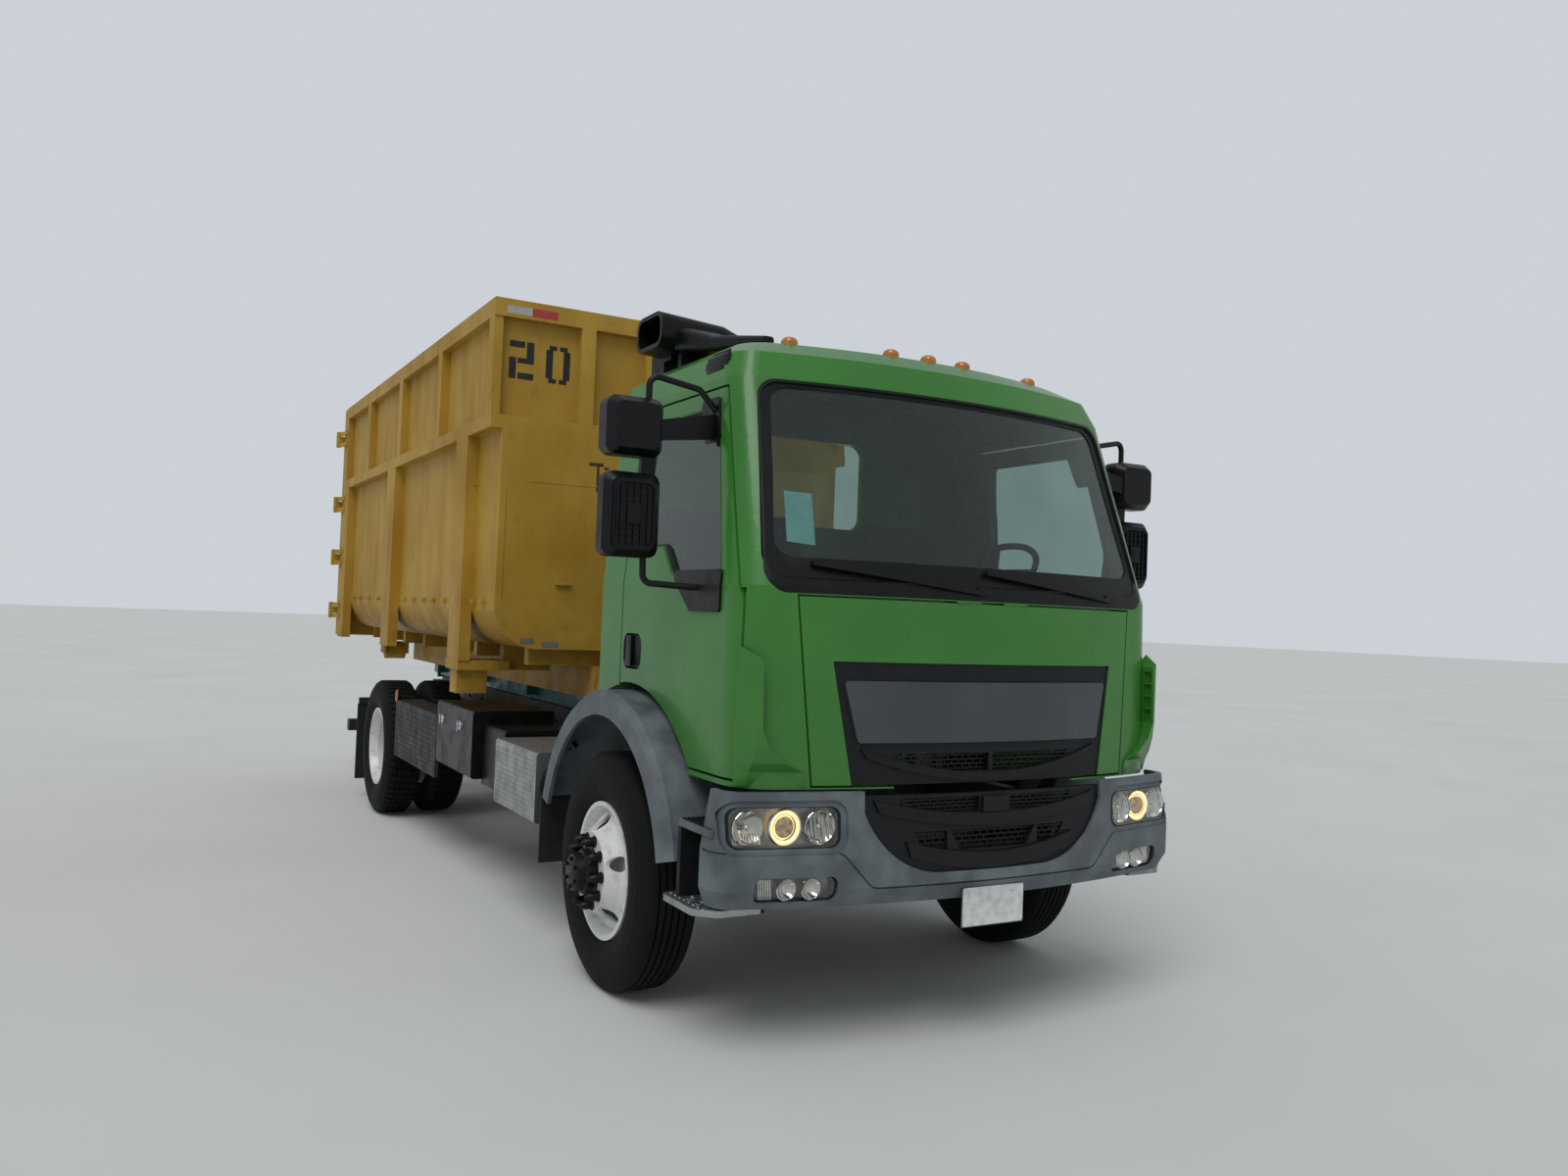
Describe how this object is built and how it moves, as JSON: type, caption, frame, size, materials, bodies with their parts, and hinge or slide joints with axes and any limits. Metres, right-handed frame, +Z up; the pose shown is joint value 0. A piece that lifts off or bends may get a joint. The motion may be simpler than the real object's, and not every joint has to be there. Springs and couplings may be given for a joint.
{
  "type": "roll-off truck",
  "caption": "Low cab-forward roll-off truck with a hook-lift hoist carrying an open-top steel container; cab, flap, doors, hoist, gate and wheels move.",
  "frame": {"origin": "on the ground under the middle of the truck's box", "axes": "+X forward, +Y to the truck's left, +Z up"},
  "size_m": [8.252, 2.926, 3.4649],
  "materials": {
    "cab_paint": "glossy mid-green enamel",
    "bumper_plastic": "weathered blue-grey moulded plastic",
    "grille_plastic": "charcoal moulded plastic",
    "panel_grey": "dark grey satin panel",
    "black_plastic": "black moulded plastic",
    "black_paint": "black chassis paint, dusty",
    "engine_iron": "cast iron",
    "axle_paint": "black painted forging",
    "wheel_paint": "white painted steel, road dirt",
    "tyre_rubber": "black tyre rubber",
    "flap_rubber": "black rubber sheet",
    "glass": "clear laminated glass",
    "lamp_glass": "clear lamp lens",
    "amber": "amber lamp lens",
    "trim_dark": "dark cab trim",
    "seat_fabric": "woven seat cloth",
    "hoist_paint": "teal hoist paint",
    "cylinder_steel": "hard-chromed rod",
    "aluminium_tread": "aluminium tread plate",
    "tank_metal": "brushed aluminium tank",
    "container_paint": "weathered mustard-yellow paint"
  },
  "bodies": {
    "chassis": {"frame_rails": "black_paint", "cross_members": "black_paint", "engine_block": "engine_iron", "front_axle": "axle_paint", "leaf_springs": "black_paint", "rear_axle": "axle_paint", "drive_shaft": "black_paint", "front_bumper": "bumper_plastic", "lower_grille": "grille_plastic", "front_lamps": "lamp_glass", "front_fenders": "bumper_plastic", "cab_steps": "grille_plastic", "tread_plate_box": "aluminium_tread", "tool_boxes": "black_plastic", "fuel_tank": "tank_metal", "exhaust": "engine_iron", "side_guards": "black_paint", "mud_flaps": "flap_rubber", "rear_bumper": "black_paint", "hoist_subframe": "black_paint"},
    "cab": {"cab_shell": "cab_paint", "corner_deflectors": "cab_paint", "cab_glass": "glass", "dashboard": "trim_dark", "steering_wheel": "black_plastic", "seats": "seat_fabric", "roof_lamps": "amber", "air_intake": "black_plastic", "wipers": "black_plastic"},
    "front_flap": {"front_flap": "cab_paint", "upper_grille": "grille_plastic", "name_panel": "panel_grey"},
    "tilt_frame": {"tilt_frame": "hoist_paint", "tilt_cross_bars": "hoist_paint"},
    "jib": {"jib_and_hook": "hoist_paint"},
    "container": {"container_walls": "container_paint", "container_frame": "container_paint", "container_posts": "container_paint", "container_floor": "container_paint", "pull_frame": "container_paint"},
    "gate": {"rear_gate": "container_paint"},
    "lift_barrels": {"lift_barrels": "hoist_paint"},
    "lift_rods": {"lift_rods": "cylinder_steel"},
    "knuckle_left": {"knuckle_left": "axle_paint"},
    "front_wheel_left": {"tyre_front_left": "tyre_rubber", "rim_front_left": "wheel_paint"},
    "rear_wheels_left": {"tyres_rear_left": "tyre_rubber", "rims_rear_left": "wheel_paint"},
    "door_left": {"door_left": "cab_paint", "door_glass_left": "glass", "mirrors_left": "black_plastic"},
    "knuckle_right": {"knuckle_right": "axle_paint"},
    "front_wheel_right": {"tyre_front_right": "tyre_rubber", "rim_front_right": "wheel_paint"},
    "rear_wheels_right": {"tyres_rear_right": "tyre_rubber", "rims_rear_right": "wheel_paint"},
    "door_right": {"door_right": "cab_paint", "door_glass_right": "glass", "mirrors_right": "black_plastic"}
  },
  "joints": [
    {"name": "steer_left", "type": "hinge", "parent": "chassis", "child": "knuckle_left", "pos_m": [2.864, 0.88, 0.518], "axis": [0, 0, 1], "range_deg": [-35, 35]},
    {"name": "front_wheel_left_roll", "type": "hinge", "parent": "knuckle_left", "child": "front_wheel_left", "pos_m": [2.864, 1.048, 0.518], "axis": [0, 1, 0], "continuous": true},
    {"name": "rear_wheels_left_roll", "type": "hinge", "parent": "chassis", "child": "rear_wheels_left", "pos_m": [-1.911, 0.932, 0.518], "axis": [0, 1, 0], "continuous": true},
    {"name": "door_left_swing", "type": "hinge", "parent": "cab", "child": "door_left", "pos_m": [3.864, 1.065, 1.6], "axis": [0, 0, -1], "range_deg": [0, 65]},
    {"name": "steer_right", "type": "hinge", "parent": "chassis", "child": "knuckle_right", "pos_m": [2.864, -0.88, 0.518], "axis": [0, 0, 1], "range_deg": [-35, 35]},
    {"name": "front_wheel_right_roll", "type": "hinge", "parent": "knuckle_right", "child": "front_wheel_right", "pos_m": [2.864, -1.048, 0.518], "axis": [0, 1, 0], "continuous": true},
    {"name": "rear_wheels_right_roll", "type": "hinge", "parent": "chassis", "child": "rear_wheels_right", "pos_m": [-1.911, -0.932, 0.518], "axis": [0, 1, 0], "continuous": true},
    {"name": "door_right_swing", "type": "hinge", "parent": "cab", "child": "door_right", "pos_m": [3.864, -1.065, 1.6], "axis": [0, 0, 1], "range_deg": [0, 65]},
    {"name": "cab_tilt", "type": "hinge", "parent": "chassis", "child": "cab", "pos_m": [3.984, 0, 1.05], "axis": [0, 1, 0], "range_deg": [0, 45]},
    {"name": "flap_lift", "type": "hinge", "parent": "cab", "child": "front_flap", "pos_m": [4.053, 0, 1.7463], "axis": [0, -1, 0], "range_deg": [0, 65]},
    {"name": "hoist_tilt", "type": "hinge", "parent": "chassis", "child": "tilt_frame", "pos_m": [-3.286, 0, 1.012], "axis": [0, -1, 0], "range_deg": [0, 48]},
    {"name": "jib_slide", "type": "slide", "parent": "tilt_frame", "child": "jib", "axis": [-1, 0, 0], "range_m": [0, 0.45]},
    {"name": "container_slide", "type": "slide", "parent": "tilt_frame", "child": "container", "axis": [-1, 0, 0], "range_m": [0, 0.45]},
    {"name": "gate_swing", "type": "hinge", "parent": "container", "child": "gate", "pos_m": [-4.106, -1.27, 2.4], "axis": [0, 0, 1], "range_deg": [0, 270]},
    {"name": "barrel_swing", "type": "hinge", "parent": "chassis", "child": "lift_barrels", "pos_m": [0.114, 0, 0.862], "axis": [0, 1, 0], "range_deg": [0, 23.79]},
    {"name": "rod_slide", "type": "slide", "parent": "lift_barrels", "child": "lift_rods", "axis": [-0.9939, 0, 0.1104], "range_m": [0, 0.9252]}
  ],
  "couplings": [
    {"joint": "steer_right", "follows": "steer_left", "ratio": 1},
    {"joint": "barrel_swing", "follows": "hoist_tilt", "ratio": 0.49524},
    {"joint": "rod_slide", "follows": "hoist_tilt", "m_per_rad": 1.1037},
    {"joint": "container_slide", "follows": "jib_slide", "ratio": 1}
  ]
}
